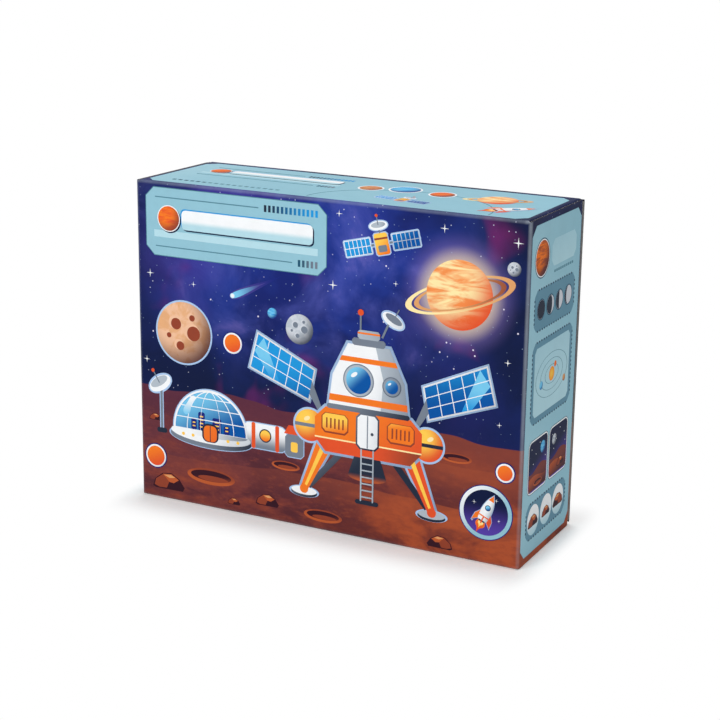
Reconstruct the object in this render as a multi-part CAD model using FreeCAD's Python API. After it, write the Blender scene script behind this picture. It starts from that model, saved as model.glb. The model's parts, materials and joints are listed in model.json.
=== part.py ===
import FreeCAD, Part
import math
import os

# A folding carton with a tuck closure at each end, empty and closed.
# Millimetres. X runs along the front, Y from front to back, Z up.
# The origin is the middle of the carton's footprint, on the surface that it stands on.

# Carton, outside
carton_width = 280.0
carton_depth = 90.0
carton_height = 220.0

# Board and its folds
board = 1.2             # micro-flute board with its printed sheet
crease_radius = 2.2     # outside of a folded edge
crease_gap = 0.2        # opening of the mitre at a fold that moves
slip = 0.4              # between two layers of board that slide past each other

# End panels, which close the two ends and swing on the front panel
end_trim = 0.5          # the end panel stops this far short of top and bottom

# Tuck flaps, folded in from the end panels behind the back panel
tuck_length = 18.0
tuck_side_trim = 4.0    # clear of the top, the bottom and the glue flap
tuck_corner_radius = 9.0
tuck_follow = 0.35      # degrees that the flap unfolds for each degree of its end panel
tuck_spare_lean = 1.5   # degrees of lean beyond what the swing needs

# Dust flaps, folded in under the end panels from the top and the bottom
dust_length = 62.0
dust_front_trim = 3.2   # hinge line stops this far from the carton's front face
dust_follow = 0.5       # degrees that the flap unfolds for each degree of its end panel
dust_spare_taper = 1.12 # front edge slopes this much more than the swing needs
dust_shoulder = 20.0    # straight stretch of the back edge
dust_back_taper = 15.0  # degrees
dust_corner_radius = 6.0
dust_tuck_clearance = 0.8

# Glued seam, along the bottom edge of the back
glue_flap_width = 15.0
glue_flap_end_trim = 4.0
glue_flap_end_taper = 30.0  # degrees
seam_setback = 0.5

# Places that follow from these sizes
half_width = carton_width / 2
half_depth = carton_depth / 2
tube_end = half_width - board - slip
tuck_fold_y = half_depth - board - slip
swing_reach = carton_depth - board
tuck_exit = math.degrees(math.asin(tuck_length / swing_reach))
tuck_lean = math.degrees(math.atan(tuck_length / (2 * swing_reach))) + tuck_follow * tuck_exit
tuck_lean = tuck_lean + tuck_spare_lean

along_x = FreeCAD.Vector(1, 0, 0)
along_y = FreeCAD.Vector(0, 1, 0)
along_z = FreeCAD.Vector(0, 0, 1)


def fold_edges(corner, along, inward, angle):
    # The rounded outside and the mitre face of a fold, seen in section, for the board that
    # leaves the corner in the direction "along". The angle is the one inside the fold.
    half = math.radians(angle) / 2
    bisector = along * math.cos(half) + inward * math.sin(half)
    centre = corner + bisector * (crease_radius / math.sin(half))
    tangent = corner + along * (crease_radius / math.tan(half))
    middle = centre - bisector * crease_radius
    quarter = (tangent - centre) + (middle - centre)
    quarter.normalize()
    inside = corner + bisector * (board / math.sin(half))
    arc = Part.Arc(tangent, centre + quarter * crease_radius, middle).toShape()
    mitre = Part.makeLine(middle, inside)
    return tangent, inside, [arc, mitre]


def cut_edges(corner, inward):
    # The square raw edge of the board, seen in section.
    inside = corner + inward * board
    return corner, inside, [Part.makeLine(corner, inside)]


def section(start, end, inward, start_angle=None, end_angle=None):
    # Section through a flat piece of board. Its outer face runs from start to end. An end with
    # an angle is folded there, and an end without one is a cut edge.
    along = (end - start).normalize()
    if start_angle:
        start_outer, start_inner, first = fold_edges(start, along, inward, start_angle)
    else:
        start_outer, start_inner, first = cut_edges(start, inward)
    if end_angle:
        end_outer, end_inner, last = fold_edges(end, along * -1, inward, end_angle)
    else:
        end_outer, end_inner, last = cut_edges(end, inward)
    outer = Part.makeLine(start_outer, end_outer)
    inner = Part.makeLine(start_inner, end_inner)
    edges = Part.__sortEdges__([outer, inner] + first + last)
    return Part.Face(Part.Wire(edges))


def spot(x, y, z):
    return FreeCAD.Vector(x, y, z)


def front_panel():
    across = section(spot(-half_width, -half_depth, 0), spot(half_width, -half_depth, 0), along_y, 90, 90)
    upright = section(
        spot(-half_width, -half_depth, 0), spot(-half_width, -half_depth, carton_height), along_y, 90, 90
    )
    return across.extrude(along_z * carton_height).common(upright.extrude(along_x * carton_width))


def back_panel():
    upright = section(
        spot(-half_width, half_depth, board), spot(-half_width, half_depth, carton_height), along_y * -1, 90, 90
    )
    return upright.extrude(along_x * carton_width)


def level_panel(z, inward, back_y, back_angle):
    # The top or the bottom of the carton: folded at the front and at both ends.
    across = section(spot(-tube_end, -half_depth, z), spot(tube_end, -half_depth, z), inward, 90, 90)
    deep = section(spot(-tube_end, -half_depth, z), spot(-tube_end, back_y, z), inward, 90, back_angle)
    return across.extrude(along_y * carton_depth).common(deep.extrude(along_x * (2 * tube_end)))


def top_panel():
    return level_panel(carton_height, along_z * -1, half_depth, 90)


def bottom_panel():
    return level_panel(0, along_z, half_depth - seam_setback, None)


def glue_flap():
    # Folded in from the back panel and glued down on the inside of the bottom.
    inner_y = half_depth - glue_flap_width
    root = tube_end - board - glue_flap_end_trim
    tip = root - glue_flap_width * math.tan(math.radians(glue_flap_end_taper))
    deep = section(spot(-root, half_depth, board), spot(-root, inner_y, board), along_z, 90, None)
    corners = [
        spot(-root, half_depth, 0),
        spot(root, half_depth, 0),
        spot(tip, inner_y, 0),
        spot(-tip, inner_y, 0),
        spot(-root, half_depth, 0),
    ]
    outline = Part.Face(Part.makePolygon(corners)).extrude(along_z * (3 * board))
    return deep.extrude(along_x * (2 * root)).common(outline)


def end_panel():
    # Closes the right end. It lies over the dust flaps, flush with the raw edge of the back panel.
    low = end_trim
    high = carton_height - end_trim
    start = spot(half_width, -half_depth + crease_gap, low)
    fold = spot(half_width, tuck_fold_y, low)
    return section(start, fold, along_x * -1, 90, 90 - tuck_lean).extrude(along_z * (high - low))


def tuck_flap():
    # Folded in from the right end panel. It leans away from the back panel, so that it can swing out.
    lean = math.radians(tuck_lean)
    reach = spot(-math.cos(lean), -math.sin(lean), 0)
    inward = spot(math.sin(lean), -math.cos(lean), 0)
    fold = spot(half_width, tuck_fold_y, tuck_side_trim)
    tip = fold + reach * tuck_length
    height = carton_height - 2 * tuck_side_trim
    plain = section(fold + reach * crease_gap, tip, inward, 90 - tuck_lean, None).extrude(along_z * height)
    free_corners = []
    for edge in plain.Edges:
        ends = [vertex.Point for vertex in edge.Vertexes]
        at_tip = all(abs((end - tip).dot(reach)) < 0.001 for end in ends)
        if at_tip and abs(ends[0].z - ends[1].z) < 0.001:
            free_corners.append(edge)
    return plain.makeFillet(tuck_corner_radius, free_corners)


def dust_flap():
    # Folded down from the right end of the top panel. Its front edge slopes, so that the end panel
    # always stays ahead of it, and its back edge stays clear of the tuck flap.
    hinge = spot(tube_end, -half_depth, carton_height)
    plate = section(
        hinge - along_z * crease_gap, hinge - along_z * dust_length, along_x * -1, 90, None
    ).extrude(along_y * carton_depth)
    tuck_depth = (half_width - tube_end + board) * math.tan(math.radians(tuck_lean))
    front = -half_depth + dust_front_trim
    back = tuck_fold_y - board - tuck_depth - dust_tuck_clearance
    slope = dust_follow * dust_spare_taper
    back_slope = math.tan(math.radians(dust_back_taper))
    top = carton_height
    low = carton_height - dust_length
    shoulder = carton_height - dust_shoulder
    inner_x = tube_end - 2 * board
    corners = [
        spot(inner_x, front, top),
        spot(inner_x, back, top),
        spot(inner_x, back, shoulder),
        spot(inner_x, back - (shoulder - low) * back_slope, low),
        spot(inner_x, front + dust_length * slope, low),
        spot(inner_x, front, top),
    ]
    outline = Part.Face(Part.makePolygon(corners)).extrude(along_x * (3 * board))
    free_corners = []
    for edge in outline.Edges:
        ends = [vertex.Point for vertex in edge.Vertexes]
        if all(abs(end.z - low) < 0.001 for end in ends) and abs(ends[0].y - ends[1].y) < 0.001:
            free_corners.append(edge)
    return plate.common(outline.makeFillet(dust_corner_radius, free_corners))


def upside_down(shape):
    return shape.mirror(spot(0, 0, carton_height / 2), along_z)


def save(name, shape):
    solid = shape.Solids[0]
    solid.exportStep("parts/" + name + ".step")


os.makedirs("parts", exist_ok=True)
save("front_panel", front_panel())
save("back_panel", back_panel())
save("top_panel", top_panel())
save("bottom_panel", bottom_panel())
save("glue_flap", glue_flap())

end_pieces = {
    "end_panel": end_panel(),
    "tuck_flap": tuck_flap(),
    "top_dust_flap": dust_flap(),
    "bottom_dust_flap": upside_down(dust_flap()),
}
for piece, shape in end_pieces.items():
    save("right_" + piece, shape)
    save("left_" + piece, shape.mirror(spot(0, 0, 0), along_x))

print("tuck flap leans", round(tuck_lean, 2), "degrees")
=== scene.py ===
import bpy
import json
import math
from functools import partialmethod
from mathutils import Matrix, Vector


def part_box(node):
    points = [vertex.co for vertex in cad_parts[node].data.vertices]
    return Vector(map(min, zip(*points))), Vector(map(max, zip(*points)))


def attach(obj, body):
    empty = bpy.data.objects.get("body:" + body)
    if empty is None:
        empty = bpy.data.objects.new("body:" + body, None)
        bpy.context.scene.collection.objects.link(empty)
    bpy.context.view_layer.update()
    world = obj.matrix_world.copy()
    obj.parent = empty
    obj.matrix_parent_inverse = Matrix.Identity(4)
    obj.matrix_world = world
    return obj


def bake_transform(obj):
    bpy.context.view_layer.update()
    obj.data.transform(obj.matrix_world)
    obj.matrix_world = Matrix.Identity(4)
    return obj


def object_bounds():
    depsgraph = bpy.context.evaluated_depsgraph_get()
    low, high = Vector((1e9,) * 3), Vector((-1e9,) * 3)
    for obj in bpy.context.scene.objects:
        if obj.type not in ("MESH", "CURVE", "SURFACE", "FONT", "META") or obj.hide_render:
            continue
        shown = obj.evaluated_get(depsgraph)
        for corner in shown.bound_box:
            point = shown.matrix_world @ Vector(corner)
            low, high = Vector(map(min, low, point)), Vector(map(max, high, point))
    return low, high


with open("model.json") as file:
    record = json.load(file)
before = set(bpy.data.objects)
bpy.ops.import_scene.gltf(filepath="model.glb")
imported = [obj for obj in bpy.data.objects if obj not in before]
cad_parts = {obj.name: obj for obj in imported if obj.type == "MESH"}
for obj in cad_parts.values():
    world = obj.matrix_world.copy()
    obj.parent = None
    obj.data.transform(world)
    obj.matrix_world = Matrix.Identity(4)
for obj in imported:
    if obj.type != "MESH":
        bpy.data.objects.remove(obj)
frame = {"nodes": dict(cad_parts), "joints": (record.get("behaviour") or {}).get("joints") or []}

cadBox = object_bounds()
bpy.ops.object.select_all(action='DESELECT')
nodes = frame["nodes"]
mm = 0.001

# the carton's sizes in millimetres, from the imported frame
halfWidth, halfDepth, tall = (reach / mm for reach in cadBox[1])
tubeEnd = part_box("right_top_dust_flap")[1].x / mm
boardThick = (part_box("top_panel")[1].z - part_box("top_panel")[0].z) / mm
hinges = {joint["name"]: Vector(joint["pos_m"]) / mm for joint in frame["joints"]}
tuckFold = hinges["right_tuck_unfold"].y
foldRadius = 2.2                # outside of a folded edge
endWays = {'right': 1, 'left': -1}
print("carton", halfWidth * 2, halfDepth * 2, tall, "board", round(boardThick, 2))


class Value:
    # a socket of a material that takes part in arithmetic
    def __init__(self, graph, socket):
        self.graph = graph
        self.socket = socket

    def maths(self, operation, *others):
        return self.graph.maths(operation, self, *others)

    __add__ = __radd__ = partialmethod(maths, 'ADD')
    __sub__ = partialmethod(maths, 'SUBTRACT')
    __mul__ = __rmul__ = partialmethod(maths, 'MULTIPLY')
    __abs__ = partialmethod(maths, 'ABSOLUTE')
    top = partialmethod(maths, 'MAXIMUM')
    least = partialmethod(maths, 'MINIMUM')
    root = partialmethod(maths, 'POWER', 0.5)

    def __rsub__(self, other):
        return self.graph.maths('SUBTRACT', other, self)

    def wave(self, length):
        # -1 to 1, once in each length
        return (self * (math.tau / length)).maths('SINE')

    def rise(self, start, end):
        # 0 at the start, 1 at the end, smooth between; the end may be the lower of the two
        inputs = {'Value': self, 'From Min': start, 'From Max': end}
        return self.graph.node('ShaderNodeMapRange', inputs, interpolation_type='SMOOTHSTEP')


class Graph:
    # a material in the making; x, y and z are the carton's own millimetres
    def __init__(self, name):
        self.material = bpy.data.materials.new(name)
        self.material.use_nodes = True
        self.tree = self.material.node_tree
        self.place = self.node('ShaderNodeTexCoord', output='Object')
        self.x, self.y, self.z = self.split(self.place, 1 / mm)

    def node(self, kind, inputs=None, output=0, **settings):
        made = self.tree.nodes.new(kind)
        for name, setting in settings.items():
            setattr(made, name, setting)
        for name, source in (inputs or {}).items():
            self.feed(made.inputs[name], source)
        return Value(self, made.outputs[output])

    def feed(self, socket, source):
        # a colour is given by its parts or by the name of its ink
        if isinstance(source, Value):
            self.tree.links.new(source.socket, socket)
        elif socket.type == 'RGBA':
            socket.default_value = (*inks.get(source, source), 1)
        else:
            socket.default_value = source

    def maths(self, operation, *values):
        return self.node('ShaderNodeMath', dict(enumerate(values)), operation=operation)

    def split(self, vector, factor):
        outputs = self.node('ShaderNodeSeparateXYZ', {0: vector}).socket.node.outputs
        return [Value(self, socket) * factor for socket in outputs]

    def mix(self, share, first, second):
        inputs = {'Factor': share, 6: first, 7: second}
        return self.node('ShaderNodeMix', inputs, 2, data_type='RGBA')

    def washes(self, colour, *layers):
        # lays each wash over the colour, given as its share and its own colour
        for share, tint in layers:
            colour = self.mix(share, colour, tint)
        return colour

    def mapped(self, kind, size, inputs, stretch=(1, 1, 1), shift=(0, 0, 0), over=None):
        # a texture whose pattern has a size in millimetres
        place = {'Vector': over or self.place, 'Scale': stretch, 'Location': shift}
        inputs = {'Vector': self.node('ShaderNodeMapping', place), 'Scale': 1 / (size * mm), **inputs}
        return self.node(kind, inputs)

    def noise(self, size, detail=2.0, roughness=0.5, distortion=0.0, **place):
        # soft cloudy values about 0.5
        inputs = {'Detail': detail, 'Roughness': roughness, 'Distortion': distortion}
        return self.mapped('ShaderNodeTexNoise', size, inputs, **place)

    def bump(self, height, distance, **below):
        return self.node('ShaderNodeBump', {'Height': height, 'Distance': distance * mm, **below})

    def finish(self, inputs):
        shader = self.tree.nodes['Principled BSDF']
        for name, source in inputs.items():
            self.feed(shader.inputs[name], source)
        return self.material


def ink(*parts):
    # a colour as it reads in print, from 0 to 255, made linear for the shader
    shares = [part / 255 for part in parts]
    return tuple(share / 12.92 if share <= 0.04 else ((share + 0.055) / 1.055) ** 2.4 for share in shares)


inks = {
    # night sky
    'navy': (20, 29, 62), 'deepBlue': (30, 42, 122), 'violet': (88, 66, 166), 'magenta': (138, 42, 112),
    'royal': (38, 60, 150), 'periwinkle': (84, 92, 178), 'lilac': (150, 128, 206), 'haze': (74, 66, 142),
    'star': (226, 220, 240), 'halo': (168, 196, 232),
    # red ground
    'plumDark': (56, 28, 38), 'plum': (74, 38, 46), 'ridge': (118, 58, 54), 'dusk': (82, 43, 64),
    'mauve': (104, 54, 60), 'rust': (146, 68, 48), 'burntOrange': (176, 84, 50), 'ember': (188, 92, 52),
    'sand': (222, 160, 104), 'peach': (238, 190, 156),
    # plates; the boxes' teal is painted paler, as painted light for the ends
    'plate': (146, 193, 209), 'plateLight': (170, 210, 223), 'stripe': (180, 217, 228),
    'teal': (86, 133, 150), 'deepTeal': (38, 84, 108), 'boxTealPaintedLight': (102, 146, 167),
    # machines
    'orange': (243, 122, 40), 'red': (226, 84, 46), 'yellow': (255, 204, 84), 'cream': (255, 232, 170),
    'white': (243, 245, 247), 'pale': (208, 212, 220), 'grey': (176, 186, 196), 'stone': (118, 128, 142),
    'slate': (40, 48, 64), 'cyan': (36, 150, 218), 'deepCyan': (14, 84, 160), 'sky': (120, 200, 236),
    # board; the gap ink is the painted shade in the hollows of the flute
    'liner': (196, 192, 184), 'coated': (226, 225, 221), 'core': (64, 61, 72), 'gap': (40, 39, 48),
    'rawLiner': (48, 48, 62), 'fleck': (116, 106, 96),
}
inks = {name: ink(*parts) for name, parts in inks.items()}


skyLook = {     # for the landscape that is printed right round the carton
    'glow': (-14, 188), 'halo': (95, 170),
    'stars': ((4.2, 0.085, 0.5), (7, 0.07, 0.85), (13, 0.055, 1.0)),    # spacing, radius, strength
}

groundLook = {
    # height, swing, length, shift and haze of each rank of dunes
    'ranks': (
        (80, 15, 95, (0.1, 0.3, 0), 0.8), (62, 16, 110, (0.6, 0.1, 0), 0.45),
        (36, 18, 130, (0.3, 0.8, 0), 0.12)),
    'flat': (1, 1, 2.4),
}


def distance(across, up, squeeze=1):
    return (across * across * squeeze + up * up).root()


def starrySky(graph):
    # brightest behind the top of the front, and round the ringed planet
    glowX, glowZ = skyLook['glow']
    haloX, haloZ = skyLook['halo']
    front = graph.y.rise(-30, -45)
    glow = distance(graph.x - glowX, graph.z - glowZ, 0.5).rise(114, 12) * front
    halo = distance(graph.x - haloX, graph.z - haloZ)
    drift = graph.noise(120, 3, distortion=0.2)
    veil = graph.noise(62, 4, 0.52, 0.35, shift=(0.3, 0.1, 0.7))
    wisp = graph.noise(40, 5, 0.55, 0.5, shift=(0.8, 0.6, 0.1))
    blush = graph.noise(66, 3, distortion=0.3, shift=(0.9, 0.4, 0.2))
    sky = graph.mix(drift.rise(0.4, 0.7) * 0.22 + glow * 0.78, 'navy', 'deepBlue')
    sky = graph.washes(
        sky,
        (veil.rise(0.4, 0.64) * (glow * 0.83 + 0.14), 'royal'),
        (drift.rise(0.48, 0.68) * (glow * 0.6 + 0.06), 'violet'),
        (wisp.rise(0.42, 0.7) * (glow * 0.7), 'periwinkle'),
        (wisp.rise(0.58, 0.76) * glow * 0.5, 'lilac'),
        (blush.rise(0.58, 0.72) * (front * 0.42 + 0.08), 'magenta'),
        (halo.rise(42, 16) * front * 0.5, 'lilac'),
        (halo.rise(32, 18) * front * 0.5, 'cream'))
    for size, radius, strength in skyLook['stars']:
        spark = graph.mapped('ShaderNodeTexVoronoi', size, {}, shift=(size, 0.2, 0.1))
        tint = graph.mix(strength, 'sky', 'star')
        sky = graph.mix(spark.rise(radius, radius * 0.5) * strength, sky, tint)
    return sky


def redDesert(graph):
    # mauve on the left and far off, warmer on the right and close by, with stones and hollows
    flat = groundLook['flat']
    grain = graph.noise(8, 7, 0.72, stretch=flat)
    broad = graph.noise(60, 5, 0.55, 0.5, stretch=flat, shift=(0.2, 0.5, 0.1))
    warm = graph.x.rise(-70, 110) * 0.6 + graph.z.rise(66, 4) * 0.34 + (broad - 0.5) * 1.5
    return graph.washes(
        graph.mix(warm.rise(0.1, 0.75), 'mauve', 'rust'),
        (warm.rise(0.6, 1.05) * 0.8, 'burntOrange'),
        (broad.rise(0.54, 0.4) * 0.6, 'plum'),
        (grain.rise(0.42, 0.72) * 0.32, 'plum'),
        (grain.rise(0.5, 0.28) * 0.22, 'ember'))


def landscape(graph):
    # ranks of dunes under the sky, each lit along its crest
    scene = starrySky(graph)
    soil = redDesert(graph)
    day = graph.x.rise(-60, 110)
    far = graph.mix(day, 'dusk', 'ridge')
    for height, swing, size, shift, haze in groundLook['ranks']:
        line = graph.noise(size, 2, 0.45, stretch=(1, 1, 0), shift=shift)
        under = (line - 0.5) * (swing * 2) + height - graph.z
        crest = under.rise(24, 0) * (day * 0.3 + 0.16)
        hill = graph.washes(soil, (crest, 'ember'), (under.rise(34, 2) * haze, far))
        scene = graph.mix(under.rise(-0.2, 0.3), scene, hill)
    return scene


board = {
    'printDepth': 0.1, 'flutePitch': 2.4, 'liner': 0.28, 'bleed': 7.0, 'rawRoughness': 0.9,
    'coreFade': (0.2, 0.1), 'linerFade': (0.34, 0.4), 'innerFade': (0.12, 0.06),
}

laminate = {
    'roughness': 0.48, 'specular': 0.025, 'washboard': 0.006, 'ripple': 1.0, 'mottle': 0.05,
    # the pale band on the folds, partly wear and partly painted highlight: its strength, the x range where
    # it is brighter and the heights over which it grows
    'rubbed': 0.05, 'foldWearAndHighlight': 0.16, 'foldHighlightEnds': (134, 137), 'foldHighlightHeights': (20, 110),
}


def boardDepth(graph, spans):
    # how deep a point lies under the carton's outside, in millimetres; None is a side that is cut
    total = 0
    for axis, (low, high) in zip((graph.x, graph.y, graph.z), spans):
        past = 0
        if high is not None:
            past = (axis - (high - foldRadius)).top(past)
        if low is not None:
            past = (low + foldRadius - axis).top(past)
        total = past * past + total
    return foldRadius - total.root()


def linerColour(graph):
    fibre = graph.noise(0.9, 4, 0.7)
    cloud = graph.noise(14, 3)
    return graph.washes(
        'liner', (fibre.rise(0.3, 0.8) * 0.25, 'fleck'), (cloud.rise(0.5, 0.8) * 0.2, 'coated'))


def cutBoard(graph, depth, along):
    # the raw edge: a wavy flute between liners, its hollows in painted shade, and the plain inside face
    middle = boardThick / 2
    flute = along.wave(board['flutePitch']) * (middle - board['liner']) + middle
    edge = graph.washes(
        'gap', (abs(depth - flute).rise(*board['coreFade']), 'core'),
        (abs(depth - middle).rise(*board['linerFade']), 'rawLiner'))
    start, end = [boardThick - reach for reach in board['innerFade']]
    return graph.mix(depth.rise(start, end), edge, linerColour(graph))


def laminated(graph, colour, along, edges=None, depth=None):
    # glossy film over the print, with faint flute lines, a slow ripple and light rubbing; on the folds a
    # pale band that is partly wear and partly a painted highlight; past the print's depth the board is raw
    look = laminate
    rub = graph.noise(7, 6, 0.75)
    colour = graph.mix(rub.rise(0.62, 0.9) * look['rubbed'], colour, 'white')
    if edges:
        # painted highlight: the folds are mixed towards grey, partly as wear and partly as a painted
        # highlight, more on the right-hand folds and towards the top
        foldWearAndHighlight = rub.rise(0.3, 0.7) * 0.08 + graph.x.rise(*look['foldHighlightEnds']) * 0.22 + look['foldWearAndHighlight']
        foldWearAndHighlight = edges.rise(-0.4, 1.5) * foldWearAndHighlight * (graph.z.rise(*look['foldHighlightHeights']) * 0.6 + 0.4)
        colour = graph.mix(foldWearAndHighlight, colour, 'grey')
    smear = graph.noise(38, 3, 0.6, shift=(0.5, 0.5, 0.5))
    shine = look['roughness'] + (smear - 0.5) * 0.22 + rub.rise(0.6, 0.9) * 0.12
    ripple = graph.bump(graph.noise(75, 1, shift=(0.2, 0.8, 0.3)), look['ripple'])
    lines = graph.bump(along.wave(board['flutePitch']), look['washboard'], Normal=ripple)
    if depth:
        raw = depth.rise(board['printDepth'], board['printDepth'] + 0.03)
        colour = graph.mix(raw, colour, cutBoard(graph, depth, along))
        shine = shine + raw * (board['rawRoughness'] - shine)
    inputs = {'Base Color': colour, 'Roughness': shine, 'Normal': lines}
    return graph.finish({**inputs, 'Specular IOR Level': look['specular']})


def foldEdges(graph):
    # above 0 on the folds round the front and along the back, below 0 on the faces, in millimetres
    tips = abs(graph.x) - (halfWidth - foldRadius)
    front = graph.y * -1 - (halfDepth - foldRadius)
    sides = abs(graph.y) - (halfDepth - foldRadius)
    rims = abs(graph.z - tall / 2) - (tall / 2 - foldRadius)
    return tips.least(front).top(sides.least(rims))


def dressNode(name, finish, spans, flutes='x', fold=None):
    # a printed panel, or a flap that is coated white past a bleed of the print next to its fold
    graph = Graph(finish)
    colour, edges = landscape(graph), foldEdges(graph)
    if fold:
        reach = fold(graph) + graph.noise(30, 2) * 1.2
        colour = graph.mix(reach.rise(board['bleed'], board['bleed'] + 0.4), colour, 'coated')
        edges = None
    along = getattr(graph, flutes)
    piece = nodes[name]
    piece.data.materials.clear()
    piece.data.materials.append(laminated(graph, colour, along, edges, boardDepth(graph, spans)))


def dressBoards():
    # each board's spans in x, y and z, from one folded edge to the other
    wide, deep, cut = (-tubeEnd, tubeEnd), (-halfDepth, halfDepth), (None, None)
    dressNode("front_panel", 'frontPrint', ((-halfWidth, halfWidth), deep, (0, tall)))
    dressNode("back_panel", 'backPrint', (cut, (None, halfDepth), (boardThick, tall)))
    dressNode("top_panel", 'topPrint', (wide, deep, (None, tall)))
    dressNode("bottom_panel", 'bottomPrint', (wide, (-halfDepth, None), (0, None)))
    dressNode("glue_flap", 'seamBoard', (cut, (None, halfDepth), (boardThick - 5, None)))
    dustFolds = {'top': lambda graph: tall - graph.z, 'bottom': lambda graph: graph.z}
    for side, out in endWays.items():
        outer, tube = [(None, x) if out > 0 else (-x, None) for x in (halfWidth, tubeEnd)]
        dressNode(side + "_end_panel", side + 'EndPrint', (outer, (-halfDepth, tuckFold), cut), 'y')
        for part, fold in dustFolds.items():
            name = side + '_' + part + '_dust_flap'
            dressNode(name, side + 'DustBoard', (tube, cut, (0, tall)), 'y', fold)
        dressNode(
            side + "_tuck_flap", side + 'TuckBoard', (outer, (None, tuckFold), cut),
            fold=lambda graph: halfWidth - graph.x * out)
    print("boards dressed")


dressBoards()


faces = {       # middle, across, up and the body
    'front': ((0, -halfDepth, 0), (1, 0, 0), (0, 0, 1), 'sleeve'),
    'back': ((0, halfDepth, 0), (-1, 0, 0), (0, 0, 1), 'sleeve'),
    'top': ((0, 0, tall), (1, 0, 0), (0, 1, 0), 'sleeve'),
    'bottom': ((0, 0, 0), (1, 0, 0), (0, -1, 0), 'sleeve'),
    'right': ((halfWidth, 0, 0), (0, 1, 0), (0, 0, 1), 'right_end'),
    'left': ((-halfWidth, 0, 0), (0, -1, 0), (0, 0, 1), 'left_end'),
}
layerHeight = 0.016     # each layer of ink, in millimetres
shapeStep = 0.0015      # and each shape within a picture, so that no two lie level
inkLook = {
    'bands': (4, 0.6, 0.6), 'bandFade': (0.42, 0.6), 'patch': (11, 5, 0.7), 'patchFade': (0.35, 0.8),
}
finishes = {}


def inkFinish(base, slope=None, ball=None, bands=None):
    # ink that may be banded, slope to another across the picture, and darken away from a centre
    key = (base, slope, ball, bands)
    if key in finishes:
        return finishes[key]
    graph = Graph('ink_' + base)
    design = graph.node('ShaderNodeAttribute', output='Vector', attribute_name='picturePlace')
    u, v = graph.split(design, 1)[:2]
    colour = base
    if bands:
        tint, size, stretch, share = bands
        cloud = graph.noise(size / mm, *inkLook['bands'], stretch=stretch, over=design)
        colour = graph.mix(cloud.rise(*inkLook['bandFade']) * share, colour, tint)
    if slope:
        tint, across, up, start, end = slope
        colour = graph.mix((u * across + v * up).rise(start, end), colour, tint)
    if ball:
        tint, across, up, start, end = ball
        colour = graph.mix(distance(u - across, v - up).rise(start, end), colour, tint)
    patch = graph.noise(*inkLook['patch'])
    colour = graph.mix(patch.rise(*inkLook['patchFade']) * laminate['mottle'], colour, 'navy')
    finishes[key] = laminated(graph, colour, graph.x)
    return finishes[key]


def fade(base, *slope):
    return inkFinish(base, slope)


def orb(base, *ball):
    return inkFinish(base, None, ball)


def editAll():
    bpy.ops.object.mode_set(mode='EDIT')
    bpy.ops.mesh.select_all(action='SELECT')


def editDone():
    bpy.ops.object.mode_set(mode='OBJECT')


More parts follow.
